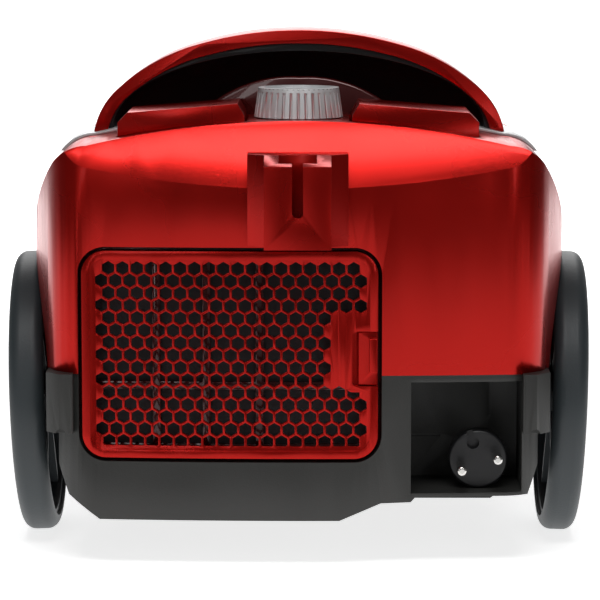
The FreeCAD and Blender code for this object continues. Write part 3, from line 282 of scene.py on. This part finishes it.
FINISHES = {
    "red_plastic": finish("red_lacquer", (0.46, 0.006, 0.003), (0.25, 0.31), (1500.0, 0.04), 0.03,
                          Metallic=0.85, Coat_Weight=0.12, Coat_Roughness=0.15),
    "grey_plastic": finish("grey_moulding", (0.030, 0.030, 0.028), (0.42, 0.52), (1100.0, 0.25), 0.08),
    "black_plastic": finish("black_satin", (0.010, 0.010, 0.011), (0.26, 0.34), (1200.0, 0.06), 0.1),
    "tyre_rubber": finish("tyre_skin", (0.030, 0.038, 0.042), (0.40, 0.50), (700.0, 0.2), 0.08),
    "wheel_plastic": finish("wheel_moulding", (0.040, 0.046, 0.050), (0.34, 0.42), (1000.0, 0.15), 0.08),
    "silver_plastic": finish("silver_knob", (0.78, 0.79, 0.80), (0.34, 0.42), (1600.0, 0.05), 0.03,
                             Metallic=0.45),
    "steel": finish("bright_steel", (0.55, 0.55, 0.56), (0.22, 0.34), (1400.0, 0.1), 0.05, Metallic=1.0),
    "nickel": finish("nickel_plate", (0.80, 0.79, 0.76), (0.12, 0.18), (1400.0, 0.02), 0.03, Metallic=1.0),
    "trim_grey": finish("pale_trim", (0.55, 0.55, 0.56), (0.20, 0.28), (1200.0, 0.03), 0.03,
                        Metallic=0.2, Coat_Weight=0.4),
    "clear_plastic": finish("smoky_clear", (0.80, 0.82, 0.84), (0.05, 0.09), (900.0, 0.0), 0.02,
                            Transmission_Weight=0.92, IOR=1.49),
    "filter_foam": finish("filter_foam", (0.028, 0.028, 0.030), (0.85, 0.95), (420.0, 1.0), 0.35),
    "filter_white": finish("filter_fleece", (0.70, 0.69, 0.65), (0.85, 0.95), (600.0, 0.8), 0.06),
    "seal_rubber": finish("seal_rubber", (0.016, 0.016, 0.016), (0.55, 0.65), (800.0, 0.2), 0.1),
    "cord_rubber": finish("cord_sheath", (0.008, 0.008, 0.009), (0.32, 0.42), (900.0, 0.12), 0.1),
    "copper": finish("copper_winding", (0.70, 0.30, 0.12), (0.3, 0.4), (500.0, 0.3), 0.1, Metallic=1.0),
    "board_green": finish("board_lacquer", (0.02, 0.16, 0.06), (0.3, 0.4), (500.0, 0.1), 0.1),
}
# A darker copy of the red lacquer: painted shade for red parts that sit in hollows, the filter carrier
# behind the exhaust grille and the bin release under the carrying arch.
PAINTED_SHADE_RED = finish("red_painted_shade", (0.06, 0.002, 0.002), (0.22, 0.30), (1500.0, 0.04), 0.05,
                  Metallic=0.3, Coat_Weight=0.5)
print("finishes", len(FINISHES) + 1)

# %% [markdown]
# ## Rounded edges
# No moulding has a knife edge.  Every piece that shows is copied from its measured solid: the loose
# triangles are merged, flat neighbours are joined into whole faces, and a Bevel modifier rounds each hard
# edge by its own width.  The copy replaces the solid, which stays behind for the motion.

# %% Rounded copies
FLAT = math.radians(0.03)
MERGE = 2e-6


def rounded(node, width, segments=2, angle=20.0, material=None):
    source = frame["nodes"][node]
    mesh = source.data.copy()
    mesh.name = node + "_moulded"
    work = bmesh.new()
    work.from_mesh(mesh)
    bmesh.ops.remove_doubles(work, verts=work.verts, dist=MERGE)
    bmesh.ops.dissolve_limit(work, angle_limit=FLAT, verts=work.verts, edges=work.edges)
    work.to_mesh(mesh)
    work.free()
    mesh.polygons.foreach_set("use_smooth", [True] * len(mesh.polygons))
    piece = bpy.data.objects.new(node + "_moulded", mesh)
    bpy.context.scene.collection.objects.link(piece)
    if width:
        bevel = piece.modifiers.new("edge", "BEVEL")
        bevel.width = width
        bevel.segments = segments
        bevel.limit_method = "ANGLE"
        bevel.angle_limit = math.radians(angle)
        bevel.use_clamp_overlap = True
        bevel.harden_normals = True
        bevel.miter_outer = "MITER_ARC"
    else:
        mesh.set_sharp_from_angle(angle=math.radians(angle))
    mesh.materials.clear()
    mesh.materials.append(material or FINISHES[SLOT_OF[node]])
    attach(piece, BODY_OF[node])
    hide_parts(node)
    return piece


EDGES = {
    # node: edge width in metres
    "rear_housing": 0.0010, "base_tray": 0.0008, "nose_cover": 0.0010, "parking_bracket": 0.0008,
    "rewind_pedal": 0.0012, "power_pedal": 0.0012, "carry_handle": 0.0016, "grip_liner": 0.0010,
    "side_clips": 0.0006, "deck_trim": 0.0004, "grille_latch": 0.0004, "exhaust_grille": 0.0003,
    "bin_lid": 0.0010, "hose_inlet": 0.0008, "caster_fork": 0.0005, "lid_hinge": 0.0004,
    "plug_strain_relief": 0.0003, "power_knob": 0.0,
}
for node_name, edge_width in EDGES.items():
    rounded(node_name, edge_width)
# These two red parts take the darker red: painted shade in the hollow under the arch and behind the
# exhaust grille.
rounded("bin_release", 0.0014, material=PAINTED_SHADE_RED)
rounded("filter_carrier", 0.0004, material=PAINTED_SHADE_RED)
print("rounded", len(EDGES) + 2)

# %% [markdown]
# ## Turned details
# One helper spins a small circle round any axis with bmesh: it makes every ring here.  The cord on the
# reel is built as its own turns, layer over layer, and takes the place of the plain measured ring.

# %% Rings
RING_STEPS = 48
RING_SIDES = 10


def spin_ring(work, centre, axis, major, minor):
    """A full ring: a circle of the minor radius carried once round the axis."""
    axis = Vector(axis).normalized()
    out = axis.orthogonal().normalized()
    middle = Vector(centre) + out * major
    place = Matrix.Translation(middle) @ Matrix((out, axis, out.cross(axis))).transposed().to_4x4()
    verts = bmesh.ops.create_circle(work, cap_ends=False, segments=RING_SIDES, radius=minor,
                                    matrix=place)["verts"]
    edges = list({edge for vert in verts for edge in vert.link_edges})
    bmesh.ops.spin(work, geom=verts + edges, cent=centre, axis=axis, dvec=(0, 0, 0),
                   angle=2 * math.pi, steps=RING_STEPS, use_merge=True, use_duplicate=False)


def ring_piece(name, rings, node, paint, replaced=None):
    """One object holding several rings; it rides the body of the given node."""
    def build(work):
        for ring in rings:
            spin_ring(work, *ring)
        bmesh.ops.recalc_face_normals(work, faces=work.faces)
    piece = new_piece(name, build)
    piece.data.polygons.foreach_set("use_smooth", [True] * len(piece.data.polygons))
    piece.data.materials.append(paint)
    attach(piece, BODY_OF[node])
    if replaced:
        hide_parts(replaced)
    return piece


REEL_MIDDLE = (0.084, -0.062, 0.1065)
REEL_HALF = 0.018
REEL_CORE = 0.024
REEL_PACK = 0.050
CORD = 0.0033
LAYERS = 4
TURNS = 5
turns = []
for layer in range(LAYERS):
    major = REEL_PACK - CORD - layer * (REEL_PACK - REEL_CORE - 2 * CORD) / (LAYERS - 1)
    for turn in range(TURNS):
        step = (turn - (TURNS - 1) / 2) * (2 * REEL_HALF - 2 * CORD) / (TURNS - 1)
        spot = (REEL_MIDDLE[0] + step, REEL_MIDDLE[1], REEL_MIDDLE[2])
        turns.append((spot, (1, 0, 0), major, CORD))
ring_piece("cord_turns", turns, "wound_cord", FINISHES["cord_rubber"], "wound_cord")

PLUG_AXIS = (0.092, 0.0532)     # x and z of the plug's middle
RIB = 0.0005
BAND_PLACE = (0, -0.130, 0.24085)
BAND_RADIUS = 0.02045
BAND = 0.00045
RELIEF = [(-0.1372, 0.0058), (-0.1346, 0.0052), (-0.1320, 0.0046)]
relief_rings = [((PLUG_AXIS[0], y, PLUG_AXIS[1]), (0, 1, 0), radius, RIB) for y, radius in RELIEF]
ring_piece("relief_ribs", relief_rings, "plug_strain_relief", FINISHES["cord_rubber"])
ring_piece("knob_band", [(BAND_PLACE, (0, 0, 1), BAND_RADIUS, BAND)], "power_knob",
           FINISHES["nickel"])
print("turned pieces", 3)

# %% [markdown]
# ## Pieces kept as measured
# What is round already, or hidden, keeps its measured solid and only gets its finish.

# %% Finish of the kept pieces
for node_name, node in frame["nodes"].items():
    paint = FINISHES[SLOT_OF[node_name]]
    if node.data.materials:
        for index in range(len(node.data.materials)):
            node.data.materials[index] = paint
    else:
        node.data.materials.append(paint)
